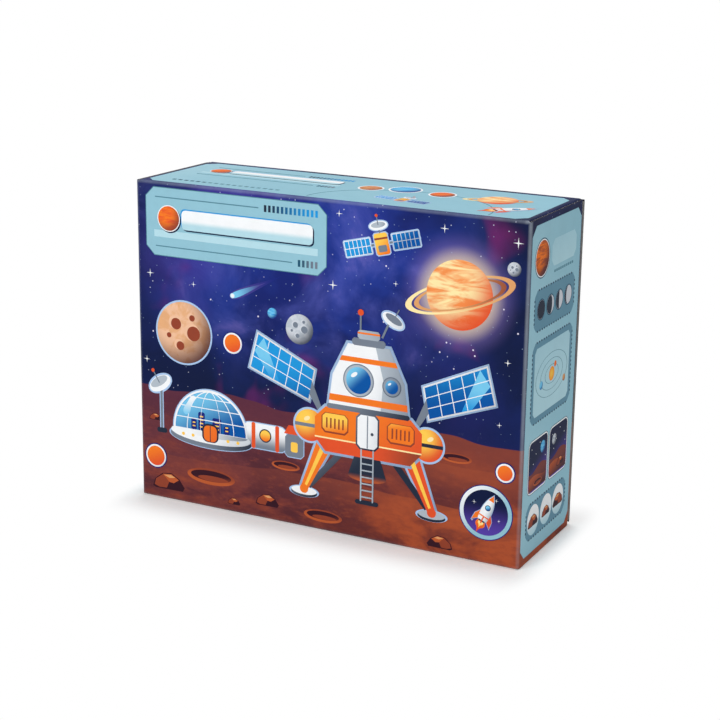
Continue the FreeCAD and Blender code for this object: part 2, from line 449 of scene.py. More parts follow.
class Picture:
    # one picture, drawn in its own millimetres; each motif in it has its own middle and base layer
    def __init__(self, name, face, centre, scale, turn, lift):
        self.name, self.face, self.centre = name, faces[face], centre
        self.scale, self.turn, self.lift = scale, turn, lift
        self.origin, self.base = (0, 0), 0
        self.shapes = []

    def motif(self, draw, centre=(0, 0), layer=0, *sizes):
        kept = self.origin, self.base
        self.origin = (self.origin[0] + centre[0], self.origin[1] + centre[1])
        self.base += layer
        draw(self, *sizes)
        self.origin, self.base = kept

    def spot(self, point):
        return ((self.origin[0] + point[0]) * mm, (self.origin[1] + point[1]) * mm, 0)

    def settle(self, centre, squeeze, turn=0.0, half=None):
        # gives the new shape its place, and first keeps only its upper or lower half if asked
        shape = bpy.context.object
        if half:
            way = 1 if half == 'upper' else -1
            editAll()
            bpy.ops.mesh.bisect(plane_co=(0, 0, 0), plane_no=(0, way, 0), clear_inner=True)
            editDone()
        shape.location = self.spot(centre)
        shape.scale = (*squeeze, 1)
        shape.rotation_euler.z = math.radians(turn)
        bpy.ops.object.transform_apply()

    def keep(self, finish, layer, corner=0, steps=1):
        # rounds or chamfers the corners, gives the shape its thickness and notes its design place
        shape = bpy.context.object
        editAll()
        if corner:
            bpy.ops.mesh.bevel(offset=corner * mm, segments=steps, affect='VERTICES')
            bpy.ops.mesh.select_all(action='SELECT')
        height = (self.base + layer + self.lift) * layerHeight + len(self.shapes) * shapeStep
        raised = (0, 0, height * mm / self.scale)
        bpy.ops.mesh.extrude_region_move(TRANSFORM_OT_translate={"value": raised})
        bpy.ops.mesh.select_all(action='SELECT')
        bpy.ops.mesh.normals_make_consistent(inside=False)
        editDone()
        design = shape.data.attributes.new('picturePlace', 'FLOAT_VECTOR', 'POINT')
        for place, vertex in zip(design.data, shape.data.vertices):
            place.vector = (vertex.co.x / mm - self.origin[0], vertex.co.y / mm - self.origin[1], 0)
        shape.data.materials.clear()
        shape.data.materials.append(inkFinish(finish) if isinstance(finish, str) else finish)
        shape.select_set(False)
        self.shapes.append(shape)

    def disc(self, centre, radius, finish, layer, squeeze=(1, 1), turn=0.0, half=None, points=48):
        bpy.ops.mesh.primitive_circle_add(vertices=points, radius=radius * mm, fill_type='NGON')
        self.settle(centre, squeeze, turn, half)
        self.keep(finish, layer)

    def ring(self, centre, radius, width, finish, layer, squeeze=(1, 1), turn=0.0, half=None):
        outer = radius + width / 2
        share = (radius - width / 2) / outer
        bpy.ops.mesh.primitive_circle_add(vertices=64, radius=outer * mm, fill_type='NOTHING')
        editAll()
        bpy.ops.mesh.extrude_region_move()
        bpy.ops.transform.resize(value=(share, share, 1))
        editDone()
        self.settle(centre, squeeze, turn, half)
        self.keep(finish, layer)

    def plate(self, centre, size, finish, layer, corner=0, steps=1, turn=0.0):
        bpy.ops.mesh.primitive_plane_add(size=mm)
        self.settle(centre, size, turn)
        self.keep(finish, layer, corner, steps)

    def discs(self, *rows):
        for row in rows:
            self.disc(*row)

    def plates(self, *rows):
        for row in rows:
            self.plate(*row)

    def row(self, start, size, finish, step, count, layer):
        # like bars in a line
        bpy.ops.mesh.primitive_plane_add(size=mm)
        self.settle(start, size)
        repeat = bpy.context.object.modifiers.new('repeat', 'ARRAY')
        repeat.count = count
        repeat.use_relative_offset = False
        repeat.use_constant_offset = True
        repeat.constant_offset_displace = (step[0] * mm, step[1] * mm, 0)
        bpy.ops.object.modifier_apply(modifier=repeat.name)
        self.keep(finish, layer)

    def outline(self, points, finish, layer, smooth=(), grow=0.0, flip=False):
        # a closed shape through its points, rounded at those numbered in smooth
        curve = bpy.data.curves.new(self.name, 'CURVE')
        curve.dimensions = '2D'
        curve.fill_mode = 'BOTH'
        curve.resolution_u = 8
        curve.offset = grow * mm
        spline = curve.splines.new('BEZIER')
        spline.bezier_points.add(len(points) - 1)
        spline.use_cyclic_u = True
        for number, (knot, (u, v)) in enumerate(zip(spline.bezier_points, points)):
            knot.co = self.spot((-u if flip else u, v))
            knot.handle_left_type = knot.handle_right_type = 'AUTO' if number in smooth else 'VECTOR'
        shape = bpy.data.objects.new(self.name, curve)
        bpy.context.collection.objects.link(shape)
        bpy.context.view_layer.objects.active = shape
        shape.select_set(True)
        bpy.ops.object.convert(target='MESH')
        self.keep(finish, layer)

    def done(self):
        # joins the shapes and lays the picture on its face
        for shape in self.shapes:
            shape.select_set(True)
        bpy.context.view_layer.objects.active = self.shapes[0]
        if len(self.shapes) > 1:
            bpy.ops.object.join()
        picture = bpy.context.object
        picture.name = self.name
        middle, across, up = [Vector(part) for part in self.face[:3]]
        faceTurn = Matrix((across, up, across.cross(up))).transposed().to_4x4()
        spot = Matrix.Translation((self.centre[0] * mm, self.centre[1] * mm, 0))
        turned = Matrix.Rotation(math.radians(self.turn), 4, 'Z') @ Matrix.Scale(self.scale, 4)
        picture.data.transform(Matrix.Translation(middle * mm) @ faceTurn @ spot @ turned)
        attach(picture, self.face[3])
        picture.select_set(False)


plateLook = {'rim': 0.5, 'corner': 6, 'shade': ('teal', -1, -0.3, -90, 1500)}


def drawPlate(art, size, rim='teal', shade=plateLook['shade']):
    # pale plate with cut corners and a fine rim
    reach, corner = plateLook['rim'], plateLook['corner']
    grown = (size[0] + reach * 2, size[1] + reach * 2)
    art.plate((0, 0), grown, rim, 1, corner + reach * 0.6)
    art.plate((0, 0), size, fade('plate', *shade), 2, corner)


boxLook = {'corner': 4, 'dash': 1.4, 'thick': 1.1, 'pitch': (3.92, 2.8), 'margin': 8}


def drawBox(art, size, inner=None):
    # box with a broken line round it, which stops short of the corners, and perhaps a panel in it
    dash, thick = boxLook['dash'], boxLook['thick']
    # the box's teal is painted paler than the plates' teal, as painted light
    art.plate((0, 0), size, 'boxTealPaintedLight', 0, boxLook['corner'])
    for axis, gap in enumerate(boxLook['pitch']):
        count = max(2, int((size[axis] - boxLook['corner'] * 2) / gap))
        start, reach = -gap * (count - 1) / 2, size[1 - axis] / 2
        for way in (-1, 1):
            if axis == 0:
                art.row((start, way * reach), (dash, thick), 'navy', (gap, 0), count, 1)
            else:
                art.row((way * reach, start), (thick, dash), 'navy', (0, gap), count, 1)
    if inner:
        margin = boxLook['margin']
        art.plate((0, 0), (size[0] - margin, size[1] - margin), inner, 2, 3)


def drawBadge(art, radius):
    # blank orange disc with a white rim
    art.discs(
        ((0, 0), radius + 1.8, 'deepBlue', 1),
        ((0, 0), radius + 1.1, fade('white', 'grey', 1, -1, 0, 22), 2),
        ((0, 0), radius, fade('red', 'orange', -0.4, 1, -8, 6), 3))


moonPits = (    # place and size as shares of the moon's radius
    (-0.35, 0.3, 0.22), (0.3, 0.05, 0.28), (-0.2, -0.4, 0.17), (0.25, 0.55, 0.12), (-0.62, -0.1, 0.1))


def drawMoon(art, radius, light='pale', mid='grey', dark='slate', pit='stone', halo=0):
    if halo:
        art.disc((0, 0), radius + halo, 'halo', -0.5)
    ball = (dark, -radius * 0.4, radius * 0.4, radius * 0.5, radius * 1.75)
    bands = (mid, radius * 0.5, (1, 1, 1), 0.7)
    art.disc((0, 0), radius, inkFinish(light, None, ball, bands), 0)
    for u, v, size in moonPits:
        art.disc((u * radius, v * radius), size * radius, light, 1, points=28)
        spot = ((u + 0.06) * radius, (v - 0.04) * radius)
        art.disc(spot, size * radius * 0.86, pit, 2, points=28)


def drawPlanet(art, radius, light, mid, dark, rim=0):
    # plain banded globe
    if rim:
        art.disc((0, 0), radius + rim, 'white', -0.4)
    ball = (dark, -radius * 0.35, radius * 0.4, radius * 0.55, radius * 1.55)
    bands = (mid, radius * 0.7, (0.5, 2.2, 1), 0.85)
    art.disc((0, 0), radius, inkFinish(light, None, ball, bands), 0)


def drawRingPlanet(art, radius):
    bands = (
        (1.62, 0.2, fade('cream', 'sand', 1, 0, -20, 34)),
        (1.36, 0.16, fade('sand', 'rust', 1, 0, -10, 40)))
    for half, layer in (('upper', 0), ('lower', 3)):
        for reach, width, finish in bands:
            art.ring((0, 0), radius * reach, radius * width, finish, layer, (1, 0.27), 17, half)
    art.motif(drawPlanet, (0, 0), 1, radius, 'cream', 'orange', 'red')


def drawSparkles(art, spots):
    # stars of four points
    for u, v, reach in spots:
        corners = []
        for number in range(8):
            angle = math.radians(90) + number * math.pi / 4
            away = reach * 0.14 if number % 2 else reach
            corners.append((u + away * math.cos(angle), v + away * math.sin(angle)))
        art.outline(corners, 'white', 0)
        art.disc((u, v), reach * 0.2, 'white', 0.4, points=12)


rockSides = (   # ink and corners of the outline, the side, the lit top and the ridge, for a size of 1
    ('plumDark', ((-1, 0), (-0.86, 0.42), (-0.4, 0.78), (0.16, 0.86), (0.66, 0.58), (0.98, 0.14),
                  (0.86, -0.06), (-0.8, -0.08))),
    ('rust', ((-0.9, 0.08), (-0.8, 0.42), (-0.38, 0.72), (0.02, 0.36), (-0.14, 0), (-0.6, -0.02))),
    ('ember', ((-0.38, 0.74), (0.16, 0.8), (0.62, 0.54), (0.3, 0.32), (0.02, 0.36))),
    ('sand', ((-0.3, 0.7), (0.14, 0.76), (0.4, 0.64), (0.06, 0.58))),
)


def drawRock(art, size, flip=False):
    slant = -0.5 if flip else 0.5
    for layer, (tint, corners) in enumerate(rockSides):
        points = [(u * size, v * size) for u, v in corners]
        shade = fade(tint, 'plumDark', slant, -1, size * 0.4, size * 2)
        art.outline(points, shade, layer, flip=flip)


def drawCrater(art, radius):
    art.discs(
        ((0, 0), radius * 1.18, fade('ember', 'rust', 0.1, 1, -3, 4), 0, (1, 0.3)),
        ((0, radius * 0.03), radius, fade('plumDark', 'rust', 0.1, -1, -1, 5), 1, (1, 0.24)),
        ((radius * 0.1, radius * -0.07), radius * 0.74, 'rust', 2, (1, 0.16)))


def drawSatellite(art):
    # about its own middle, 60 wide
    white, panel = fade('white', 'grey', 0.4, -1, -4, 9), fade('cyan', 'deepCyan', 0.5, -1, -10, 14)
    art.plates(((0, 0), (64, 3.4), 'halo', 1, 1), ((0, 0), (60, 1.6), 'stone', 2))
    for u in (-20, 20):
        art.plates(
            ((u, 0), (23.6, 13.6), 'halo', 1, 1), ((u, 0), (22, 12), white, 2), ((u, 0), (21, 11), panel, 3))
        art.row((u - 7, 0), (0.5, 11), white, (3.5, 0), 5, 4)
        art.plate((u, 0), (21, 0.5), white, 4)
    body = fade('yellow', 'orange', 0.7, -1, -6, 10)
    art.plates(
        ((0, 0), (12.6, 17.6), 'halo', 1, 1.5), ((0, 0), (11, 16), body, 3, 1.2),
        ((0, 4), (11, 1.4), 'rust', 4), ((0, -3.5), (7, 5), 'stone', 4, 0.8),
        ((0, 10.5), (1.2, 6), 'stone', 2))
    art.discs(
        ((0, 13.6), 8.3, 'halo', 1, (1, 0.5)), ((0, 13.6), 7.5, white, 3, (1, 0.45)),
        ((0, 14.1), 5.8, fade('grey', 'stone', 1, -0.3, -4, 6), 4, (1, 0.36)))
    art.plate((0, 17.5), (0.8, 7), 'stone', 5)
    art.disc((0, 21), 1.2, 'red', 5, points=16)


def drawComet(art):
    # head at the middle, tail up to the right
    for reach, tail, finish, layer in (
            (2.6, (44, 10), fade('haze', 'deepBlue', 1, 0, 4, 40), 1),
            (1.8, (30, 6.8), fade('sky', 'haze', 1, 0, 0, 26), 2)):
        art.outline([(0, reach), (-reach, 0), (0, -reach), tail], finish, layer, (0, 1, 2))
    art.disc((0, 0), 1.9, orb('white', 'sky', 0, 0, 0.8, 2.4), 3, points=24)


landerLook = {
    'wing': [(-88, 84), (-44, 68), (-40, 88), (-82, 107)],
    'deck': [(-31, 34), (31, 34), (39, 43), (39, 57), (31, 65), (-31, 65), (-39, 57), (-39, 43)],
    'belly': [(-31, 34), (31, 34), (39, 43), (-39, 43)],
    'cabin': [(-29, 65), (29, 65), (26, 88), (15, 110), (-15, 110), (-26, 88)],
    'shadow': [(9, 65), (29, 65), (26, 88), (15, 110), (5, 110), (11, 88)],
    'leg': [(-36, 44), (-27, 36), (-44, 5), (-50, 5)],
    'strut': [(-20, 37), (-16, 35), (-42, 6), (-46, 8)],
    'stripe': [(-34, 38), (-31, 36.5), (-45, 7), (-47, 7)],
    'nozzle': [(-9, 36), (9, 36), (14, 21), (-14, 21)],
    'arm': [(-45, 74), (-36, 60), (-33, 61), (-42, 82)], 'bar': 0.28,
}


def drawWing(art, flip):
    # blue solar panel in a white frame, on its arm
    low, near, far, high = corners = [Vector(corner) for corner in landerLook['wing']]
    art.outline(corners, 'halo', 1, grow=2.2, flip=flip)
    art.outline(corners, 'white', 2, grow=1.1, flip=flip)
    art.outline(corners, fade('cyan', 'deepCyan', 0.2, -1, -104, -66), 3, flip=flip)
    bars = [(low.lerp(near, share), high.lerp(far, share), (1, 0)) for share in (0.2, 0.4, 0.6, 0.8)]
    bars += [(low.lerp(high, share), near.lerp(far, share), (0, -1)) for share in (0.33, 0.67)]
    for start, end, way in bars:
        side = Vector(way) * landerLook['bar']
        art.outline([start - side, start + side, end + side, end - side], 'white', 4, flip=flip)
    glint = [low.lerp(high, 0.5), low.lerp(near, 0.34), low.lerp(near, 0.5), high.lerp(far, 0.1)]
    art.outline(glint, fade('sky', 'cyan', 0, -1, -94, -76), 3.5, flip=flip)
    art.outline(landerLook['arm'], 'stone', 1.5, flip=flip)


def drawLander(art):
    # chunky lander on its legs, 176 wide and 132 high, its feet at zero
    white, orange = fade('white', 'grey', 1, -0.15, -14, 22), fade('orange', 'red', 1, -0.7, -50, 14)
    steel, dark = fade('grey', 'stone', 1, 0, -10, 30), fade('slate', 'stone', -1, 1, 30, 90)
    look = landerLook
    for flip in (False, True):
        way = 1 if flip else -1
        drawWing(art, flip)
        art.outline(look['leg'], 'halo', 1, grow=1.6, flip=flip)
        art.outline(look['strut'], dark, 2.5, flip=flip)
        art.outline(look['leg'], orange, 3, flip=flip)
        art.outline(look['stripe'], 'yellow', 4, flip=flip)
        foot, pod = way * 47, way * 43
        art.discs(
            ((foot, 3), 11.4, 'halo', 1, (1, 0.36)), ((foot, 2.4), 10, dark, 1.6, (1, 0.34)),
            ((foot, 3.6), 9.6, white, 2, (1, 0.3)), ((foot, 5), 3.2, orange, 5),
            ((pod, 50), 12.4, 'halo', 1),
            ((pod, 50), 11, orb('yellow', 'red', pod - 4, 55, 3, 17), 5))
        art.plate((pod, 50), (22, 2.4), dark, 5.4)
        art.disc((way * 45, 54.5), 2.4, 'cream', 5.4, (1, 0.6), 30)
    art.outline(look['nozzle'], dark, 3)
    art.disc((0, 21), 14, fade('slate', 'ember', 0, -1, -23, -17), 4, (1, 0.26))
    art.outline(look['deck'], 'halo', 2, grow=1.8)
    art.outline(look['deck'], orange, 6)
    art.outline(look['belly'], fade('red', 'rust', 1, 0, 0, 40), 7)
    art.plate((0, 43.4), (78, 1), 'cream', 8)
    for u in (-24, 24):
        hatch = fade('orange', 'yellow', -0.2, 1, 52, 62)
        art.plates(((u, 54), (20, 14), 'rust', 7, 2.6), ((u, 54.4), (18.4, 12.4), hatch, 8, 2.2))
        art.row((u - 6, 54), (1.1, 7), 'rust', (3, 0), 5, 9)
    art.plates(
        ((0, 52), (17, 25), dark, 8, 3), ((0, 52), (14.6, 22.6), white, 9, 2.4),
        ((0, 52), (0.8, 22), 'stone', 10))
    art.disc((3.4, 51), 1.1, dark, 10, points=16)
    art.outline(look['cabin'], 'halo', 2, grow=1.8)
    art.outline(look['cabin'], white, 7)
    art.outline(look['shadow'], fade('grey', 'stone', 1, 0, 4, 40), 8)
    art.plate((0, 66), (60, 3.4), dark, 9, 1)
    for wide, low, narrow, high in ((28.6, 70, 28.1, 74.5), (21, 98, 19.4, 101.4)):
        art.outline([(-wide, low), (wide, low), (narrow, high), (-narrow, high)], orange, 9)
    for u, v, radius in ((-7, 86, 9), (17, 85, 4.6)):
        glass = fade('deepCyan', 'sky', -1, 1, v - u - 4, v - u + 12)
        glint = (u - radius * 0.35, v + radius * 0.4)
        art.discs(
            ((u, v), radius + 2.2, dark, 9), ((u, v), radius + 1.4, steel, 10), ((u, v), radius, glass, 11),
            (glint, radius * 0.3, 'white', 12, (1, 0.5), 35, None, 20))
    art.plates(
        ((0, 112), (24, 5), dark, 9, 1.4), ((0, 117), (16, 6), steel, 9, 1.4),
        ((0, 118), (16, 1.2), orange, 10), ((-6, 124), (1.2, 14), 'stone', 8))
    art.disc((-6, 131.5), 2.1, 'red', 9, points=20)
    art.plate((12, 122), (1.4, 12), 'stone', 8, turn=-24)
    art.discs(
        ((17, 129), 9.2, 'halo', 2, (1, 0.56), -28), ((17, 129), 8.2, white, 9, (1, 0.5), -28),
        ((17.6, 129.8), 6.4, fade('grey', 'stone', 1, 0.2, 12, 24), 10, (1, 0.38), -28))
    art.plate((19.4, 133), (0.7, 8), 'stone', 11, turn=-28)
    art.plates(((-4.4, 22), (1, 36), steel, 11), ((4.4, 22), (1, 36), steel, 11))
    art.row((0, 7), (8, 0.9), steel, (0, 4.6), 7, 11)
    art.plate((0, 3.2), (17, 3), dark, 10, 1)


stationLook = {'radius': 33, 'floor': 8, 'arcs': (0.28, 0.66), 'levels': (9, 18.5, 26.5)}


def drawStation(art):
    # glass dome on a white ring, with a tunnel, a hut and a dish; its foot at zero
    white, grey = fade('white', 'grey', 0.8, -1, -6, 40), fade('grey', 'stone', 0.3, -1, -8, 4)
    orange = fade('orange', 'red', 1, -1, -30, 40)
    radius, floor = stationLook['radius'], stationLook['floor']
    art.plates(
        ((49, 12), (39.6, 21.6), 'halo', 1, 6.4, 4),
        ((49, 12), (38, 20), fade('white', 'stone', 0, -1, -17, -3), 3, 5.6, 4),
        ((39, 12), (3.4, 21), orange, 4, 1), ((60, 12), (3.4, 21), orange, 4, 1))
    art.discs(
        ((49.5, 13), 5.4, 'slate', 4), ((49.5, 13), 4.4, fade('yellow', 'orange', 0, -1, -16, -9), 5))
    art.plates(((75, 9), (17.4, 19.4), 'halo', 1, 3), ((75, 9), (16, 18), grey, 3, 2.4))
    art.outline([(66, 18), (84, 18), (80, 25), (70, 25)], orange, 4)
    art.plate((75, 8), (6, 8), 'yellow', 4, 1)
    dome = (1, 1), 0, 'upper'
    art.discs(
        ((0, 3), radius + 5.2, 'halo', 1, (1, 0.24)), ((0, floor), radius + 1.8, 'halo', 1, *dome),
        ((0, 2.6), radius + 4, fade('stone', 'slate', 1, 0, -10, 44), 2, (1, 0.22)),
        ((0, 5.4), radius + 3.4, white, 4, (1, 0.2)),
        ((0, floor), radius, fade('cyan', 'deepBlue', 0.4, -1, -34, 6), 5, *dome),
        ((0, floor), radius - 1.2, fade('deepCyan', 'sky', -0.5, 1, 2, 46), 6, *dome))
    for u, high, width in ((-15, 9, 5), (-8, 15, 6), (6, 12, 8), (15, 7, 5)):
        art.plate((u, floor + high / 2), (width, high), 'deepBlue', 7, 1)
        art.row((u, floor + 3), (width * 0.5, 1), 'yellow', (0, 2.8), int(high / 3.2), 8)
    for share in stationLook['arcs']:
        art.ring((0, floor), radius - 0.6, 0.9, white, 9, (share, 1), half='upper')
    for level in stationLook['levels']:
        reach = math.sqrt(radius ** 2 - level ** 2)
        art.plate((0, floor + level), (reach * 2 - 1, 0.7), white, 9)
    art.ring((0, floor), radius, 1.6, white, 10, half='upper')
    glint = [(-24, 20), (-21, 29), (-14, 35), (-17, 28), (-20, 20)]
    art.outline(glint, fade('white', 'sky', 0, -1, -34, -18), 10, range(5))
    rim = fade('white', 'stone', 1, 0, -20, 40)
    art.disc((0, floor - 0.4), radius + 0.8, rim, 11, (1, 0.13), half='lower')
    art.plates(
        ((0, 7), (15, 15), 'slate', 12, 5, 4), ((0, 6.6), (12, 13), orange, 13, 4, 4),
        ((0, 6.6), (0.7, 12.6), 'slate', 14))
    for u in (-25, -16, 16, 25):
        art.disc((u, 3), 1.3, 'yellow', 12, points=16)
    art.plates(
        ((-45, 19), (3.6, 36), 'halo', 1, 1), ((-45, 19), (2, 34), 'stone', 3),
        ((-45, 2.6), (9, 4), 'slate', 4, 1))
    art.discs(
        ((-46, 41), 12.2, 'halo', 1, (1, 0.6), 32), ((-46, 41), 11, white, 4, (1, 0.52), 32),
        ((-47, 42.4), 8.8, grey, 5, (1, 0.4), 32))
    art.plate((-49.6, 46), (0.9, 11), 'stone', 6, turn=32)
    art.disc((-52.6, 50.8), 1.5, 'red', 7, points=16)


rocketLook = {
    'body': [(-9, -16), (9, -16), (10, 4), (6, 24), (0, 36), (-6, 24), (-10, 4)],
    'fin': [(-9, 2), (-9, -16), (-18, -24), (-17, -10)],
    'flame': [(-7, -17), (7, -17), (9, -26), (3, -33), (0, -42), (-3, -33), (-9, -26)],
    'round': (2, 3, 5, 6),      # the smooth corners of body and flame
}


def drawRocket(art):
    # small rocket on its flame, 30 wide and 74 high, its middle at zero
    body, fin, flame, smooth = rocketLook.values()
    orange = fade('orange', 'red', 1, -0.2, -4, 16)
    art.outline(flame, fade('red', 'orange', 0, 1, -36, -20), 1, smooth)
    inner = [(u * 0.56, -17 + (v + 17) * 0.62) for u, v in flame]
    art.outline(inner, fade('yellow', 'cream', 0, 1, -30, -18), 2, smooth)
    for flip in (False, True):
        art.outline(fin, 'halo', 1, grow=1, flip=flip)
        art.outline(fin, orange, 2.5, flip=flip)
    art.plate((0, -17.4), (12, 3.4), 'slate', 3, 0.8)
    art.outline(body, 'halo', 1, smooth, 1.2)
    art.outline(body, fade('white', 'grey', 1, 0, -2, 12), 3.5, smooth)
    art.outline([(-5.6, 24.6), (5.6, 24.6), (0, 36)], orange, 4)
    art.plate((0, -8), (19, 2.4), orange, 4)
    art.discs(((0, 10), 5.4, 'slate', 4), ((0, 10), 4.2, fade('deepCyan', 'sky', -1, 1, 4, 14), 5))
    art.plate((0, -15), (2.6, 14), 'red', 4.5, 1)


sceneLook = {
    'corner': 4, 'frame': ((2.6, 'deepTeal', 0, 1.2), (1.8, 'white', 0.5, 0.9)),
    'stars': ((-0.36, 0.36), (-0.12, 0.22), (0.08, 0.4), (0.33, 0.25), (-0.25, 0.05), (0.4, 0.06)),
    'hills': (('ridge', 0.4, 0.5), ('burntOrange', 0.24, 2.6)), 'margin': 0.8,
}


def drawScene(art, size):
    # small framed view of dunes under a night sky
    width, height = size
    look = sceneLook
    for grow, tint, layer, corner in look['frame']:
        art.plate((0, 0), (width + grow, height + grow), tint, layer, look['corner'] + corner, 5)
    sky = fade('navy', 'violet', 0.3, -1, -height * 0.2, height * 0.5)
    art.plate((0, 0), size, sky, 1, look['corner'], 5)
    for u, v in look['stars']:
        art.disc((u * width, v * height), 0.4, 'white', 2, points=8)
    low, reach = look['margin'] - height / 2, width / 2 - look['margin']
    shade = ('plum', 0.2, -1, height * 0.14, height * 0.5)
    for number, (tint, rise, phase) in enumerate(look['hills']):
        points = [(-reach, low), (reach, low)]
        for share in (1, 0.66, 0.33, 0, -0.33, -0.66, -1):
            crest = rise * (1 + 0.16 * math.sin(phase + share * 2.6))
            points.append((share * reach, low + height * crest))
        art.outline(points, fade(tint, *shade), 2 + number, range(3, 8))


orbitPaths = (      # share of the reach, angle, planet's size and its inks
    (0.42, 60, 0.07, 'orange', 'red'), (0.7, 200, 0.1, 'sky', 'deepCyan'), (1, 325, 0.085, 'sand', 'rust'))


def drawOrbits(art, reach):
    # a sun with its planets on their paths
    art.disc((0, 0), reach * 0.17, orb('yellow', 'orange', 0, 0, 0, reach * 0.24), 1)
    for share, angle, size, light, dark in orbitPaths:
        art.ring((0, 0), reach * share, 0.5, 'teal', 0, (1, 0.52))
        angle = math.radians(angle)
        spot = (reach * share * math.cos(angle), reach * share * 0.52 * math.sin(angle))
        art.motif(drawPlanet, spot, 2, reach * size, light, light, dark)


def drawPhases(art, radius, pitch):
    # moon from new to full
    for number, share in enumerate((-1, -0.5, 0.1, 0.6)):
        spot = ((number - 1.5) * pitch, 0)
        art.disc(spot, radius + 0.7, 'deepTeal', 0)
        art.disc(spot, radius, 'pale', 1)
        art.disc(spot, radius * 0.98, 'slate', 2, turn=90, half='upper')
        art.disc(spot, radius * 0.98, 'slate' if share < 0 else 'pale', 3, (abs(share), 1))


foldLook = {'proud': 0.02, 'thick': 0.45, 'facets': 40, 'spare': 0.6, 'smooth': 30}


def foldPrint():
    # the printed landscape for the fold strips, with the pale band of wear and painted highlight on the
    # folds
    graph = Graph('foldPrint')
    return laminated(graph, landscape(graph), graph.z, foldEdges(graph))


def plainBoard():
    # unprinted inside of the board
    graph = Graph('boardInside')
    return graph.finish({'Base Color': linerColour(graph), 'Roughness': 0.85, 'Specular IOR Level': 0.2})


def addFold(name, first, corner, ways, reach, skins):
    # strip of board round a crease; ways point out of the corner
    low, high = reach
    centre = Vector(corner) - Vector(ways) * foldRadius
    centre[1 if ways[2] else 2] = (low + high) / 2
    bpy.ops.mesh.primitive_cylinder_add(
        vertices=foldLook['facets'], radius=(foldRadius + foldLook['proud']) * mm,
        depth=(high - low - foldLook['spare'] * 2) * mm, end_fill_type='NOTHING',
        location=centre * mm, rotation=(math.pi / 2 if ways[2] else 0, 0, 0))
    strip = bpy.context.object
    strip.name = name
    bpy.ops.object.transform_apply()
    flat = []
    for axis, way in enumerate(ways):
        if way:
            outward, start = [0, 0, 0], Vector(corner) * mm
            outward[axis] = way
            start[axis] -= way * foldRadius * mm
            flat.append(start)
            editAll()
            bpy.ops.mesh.bisect(plane_co=centre * mm, plane_no=outward, clear_inner=True)
            editDone()
    wall = strip.modifiers.new('wall', 'SOLIDIFY')
    wall.thickness = foldLook['thick'] * mm
    wall.offset = -1
    wall.material_offset = 1
    wall.material_offset_rim = 1
    for skin in skins:
        strip.data.materials.append(skin)
    bpy.ops.object.modifier_apply(modifier=wall.name)
    bpy.ops.object.shade_smooth_by_angle(angle=math.radians(foldLook['smooth']))
    start, end = flat if first == 'sleeve' else reversed(flat)
    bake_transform(strip)
    strip.select_set(False)


def reachOf(name, axis):
    return [corner[axis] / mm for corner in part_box(name)]


def addFolds():
    skins = foldPrint(), plainBoard()
    for side, out in endWays.items():
        end, tuck = side + '_end', side + '_tuck'
        edge, reach = (out * halfWidth, -halfDepth, 0), reachOf(end + '_panel', 2)
        addFold(side + 'FrontFold', 'sleeve', edge, (out, -1, 0), reach, skins)
        edge, reach = (out * halfWidth, tuckFold, 0), reachOf(tuck + '_flap', 2)
        addFold(side + 'TuckFold', end, edge, (out, 1, 0), reach, skins)
        reach = reachOf(side + '_top_dust_flap', 1)
        for part, height, up in (('Top', tall, 1), ('Bottom', 0, -1)):
            edge, dust = (out * tubeEnd, 0, height), side + '_' + part.lower() + '_dust'
            addFold(side + part + 'DustFold', 'sleeve', edge, (out, 0, up), reach, skins)
    print("folds added")


addFolds()


titleLook = {
    'size': (135, 45), 'globe': (-50, 2.6, 8.2), 'bar': (9, 2.6), 'barSize': (98, 13),
    'stripe': (0, -8), 'stripeSize': (123, 4.6), 'shades': (('navy', 0.9), ('cyan', -0.8)),
    'ticks': ((16.4, 13, 'slate', 'cyan'), (-16.4, 5, 'deepTeal', 'stone')), 'tick': (1.8, 4.4),
    'pitch': 3.1, 'inset': 7, 'gap': 5, 'rule': 0.7,
}


def drawTitle(art, framed=True):
    # plate left blank: a globe before a white bar, a stripe under them and rows of ticks
    look = titleLook
    if framed:
        drawPlate(art, look['size'])
    art.plate(look['stripe'], look['stripeSize'], 'stripe', 4)
    u, v = look['bar']
    for tint, shift in look['shades']:
        art.plate((u + shift, v - shift), look['barSize'], tint, 5, 3, 3)
    art.plate((u, v), look['barSize'], fade('white', 'stripe', 0, -1, -3, 1), 7, 3, 3)
    end, pitch = look['size'][0] / 2 - look['inset'], look['pitch']
    for height, count, first, last in look['ticks']:
        start = end - pitch * (count - 1)
        tint = fade(first, last, 1, 0, start, end)
        art.row((start, height), look['tick'], tint, (pitch, 0), count, 4)
        length = start - look['gap'] + end
        art.plate((length / 2 - end, height), (length, look['rule']), 'teal', 4)
    u, v, radius = look['globe']
    art.disc((u + 0.8, v - 0.8), radius + 0.6, 'navy', 8)
    art.disc((u, v), radius + 0.6, 'white', 9)
    art.motif(drawPlanet, (u, v), 10, radius, 'orange', 'red', 'rust')


def drawWindow(art, radius, spots):
    # round view of the night sky
    art.disc((0, 0), radius + 3.2, 'deepBlue', 1)
    art.disc((0, 0), radius + 2.6, fade('plate', 'white', -1, 1, -10, 30), 2)
    art.disc((0, 0), radius, fade('navy', 'violet', 0, -1, -8, 16), 3)
    art.motif(drawSparkles, (0, 0), 4, spots)


def ground(craters, rocks=()):
    hollows = [(drawCrater, (u, v), 1, radius) for u, v, radius in craters]
    return hollows + [(drawRock, (u, v), 4, size, u > 0) for u, v, size in rocks]


def printFace(face, pictures):
    # each picture has its middle, scale, turn and lift above the board, then its motifs; each motif
    # has the function that draws it, and perhaps its middle, base layer and sizes
    for name, (centre, scale, turn, lift, *motifs) in pictures.items():
        art = Picture(face + name, face, centre, scale, turn, lift)
        for motif in motifs:
            art.motif(*motif)
        art.done()
    print(face, "printed")


